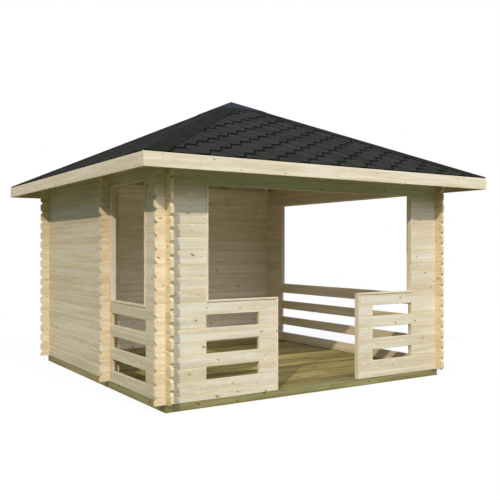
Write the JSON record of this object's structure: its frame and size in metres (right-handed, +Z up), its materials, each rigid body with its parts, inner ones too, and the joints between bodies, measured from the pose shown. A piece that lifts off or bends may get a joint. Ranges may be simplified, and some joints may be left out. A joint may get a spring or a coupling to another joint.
{
  "type": "log garden gazebo",
  "caption": "Square open garden gazebo of interlocking logs, with log balustrades, wide openings and a hipped shingle roof.",
  "frame": {"origin": "on the ground at the centre of the plan", "axes": "+X to the right seen from the front, +Y from the front to the back, +Z up; the entrance faces -Y"},
  "size_m": [4.333, 4.333, 3.3396],
  "materials": {
    "spruce_log": "planed untreated spruce, small brown knots, matt",
    "planed_board": "planed spruce cover board, matt",
    "roof_timber": "planed spruce rafters and tongued roof boards, matt",
    "treated_timber": "green pressure-treated softwood, matt",
    "shingle": "dark grey mineral granules on bitumen shingle, matt",
    "peak_cap": "blue-black bitumen cap sheet, matt"
  },
  "bodies": {
    "root": {"base_front_beam": "treated_timber", "base_back_beam": "treated_timber", "base_left_beam": "treated_timber", "base_right_beam": "treated_timber", "floor_joists": "treated_timber", "floor_deck": "treated_timber", "front_left_balustrade": "spruce_log", "front_right_balustrade": "spruce_log", "front_left_post": "spruce_log", "front_right_post": "spruce_log", "front_lintel": "spruce_log", "left_balustrade": "spruce_log", "left_front_post": "spruce_log", "left_wall": "spruce_log", "left_lintel": "spruce_log", "left_cross_wall": "spruce_log", "right_rails": "spruce_log", "right_front_post": "spruce_log", "right_back_post": "spruce_log", "right_lintel": "spruce_log", "back_wall": "spruce_log", "front_jamb_boards": "planed_board", "front_cap_boards": "planed_board", "front_end_boards": "planed_board", "left_jamb_boards": "planed_board", "left_sill_board": "planed_board", "right_jamb_boards": "planed_board", "right_sill_board": "planed_board", "king_block": "roof_timber", "hip_rafters": "roof_timber", "front_rafters": "roof_timber", "right_rafters": "roof_timber", "back_rafters": "roof_timber", "left_rafters": "roof_timber", "front_roof_boards": "roof_timber", "right_roof_boards": "roof_timber", "back_roof_boards": "roof_timber", "left_roof_boards": "roof_timber", "front_shingles": "shingle", "right_shingles": "shingle", "back_shingles": "shingle", "left_shingles": "shingle", "hip_caps": "shingle", "peak_cap": "peak_cap", "front_fascia": "planed_board", "right_fascia": "planed_board", "back_fascia": "planed_board", "left_fascia": "planed_board"}
  },
  "joints": []
}
